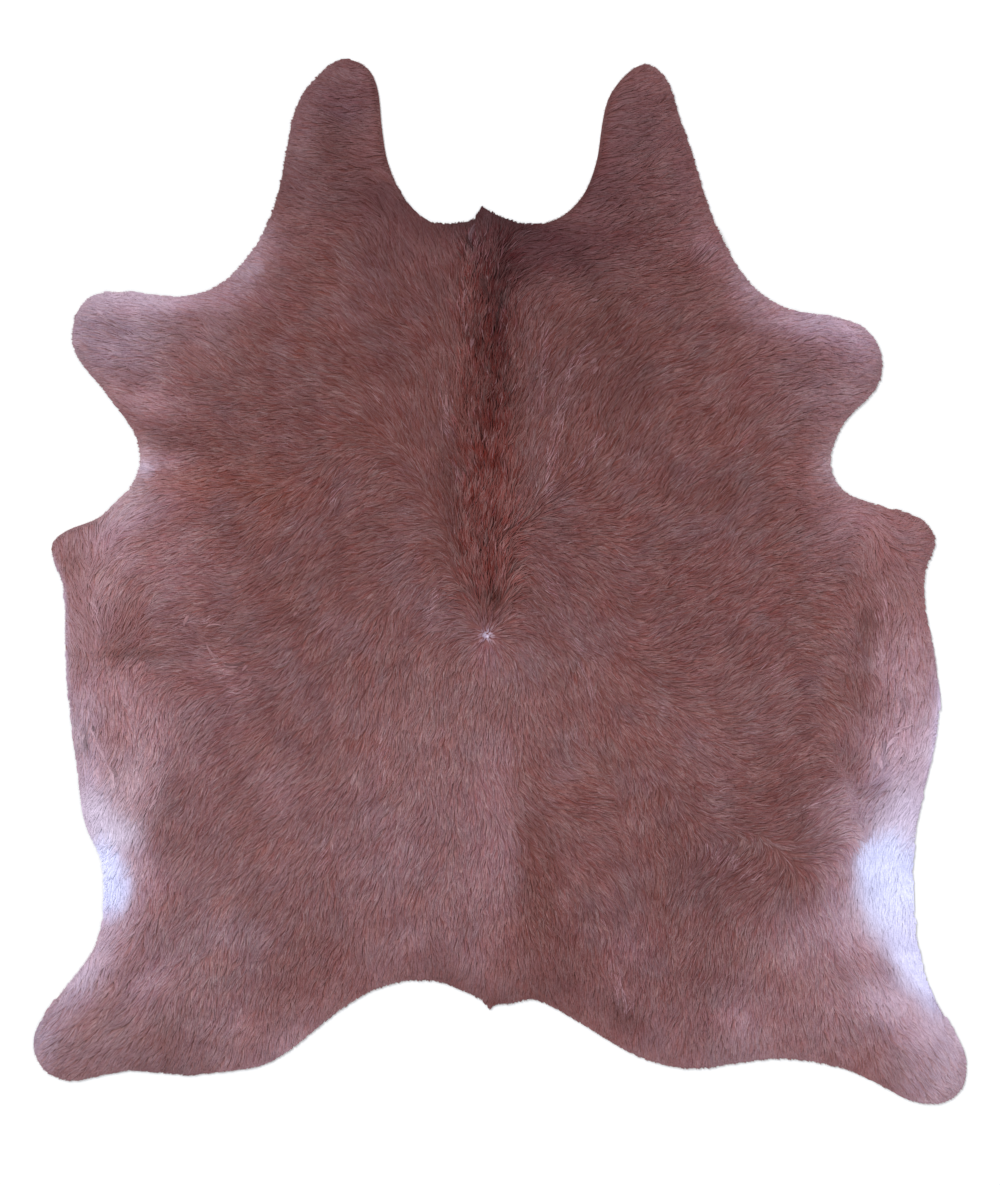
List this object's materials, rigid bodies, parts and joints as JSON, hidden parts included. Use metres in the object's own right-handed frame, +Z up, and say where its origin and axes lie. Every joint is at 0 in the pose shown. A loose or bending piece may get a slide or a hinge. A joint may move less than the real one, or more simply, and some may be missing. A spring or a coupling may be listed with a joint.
{
  "type": "hair-on leather hide",
  "caption": "Whole hair-on cattle hide laid flat as a rug, with neck lobes, foreleg lobes, hind leg lobes, a tufted spine and pale flanks.",
  "frame": {"origin": "middle of the hide's box, on the surface that the flesh side rests on", "axes": "+X across the hide to its right side as seen from above with the neck away from the viewer, +Y along the spine towards the neck, +Z up out of the hair side"},
  "size_m": [1.868, 2.094, 0.0148],
  "materials": {
    "hide": "short combed brown hair on tanned skin, soft satin sheen, suede on the flesh side"
  },
  "bodies": {
    "root": {"hide": "hide"}
  },
  "joints": []
}
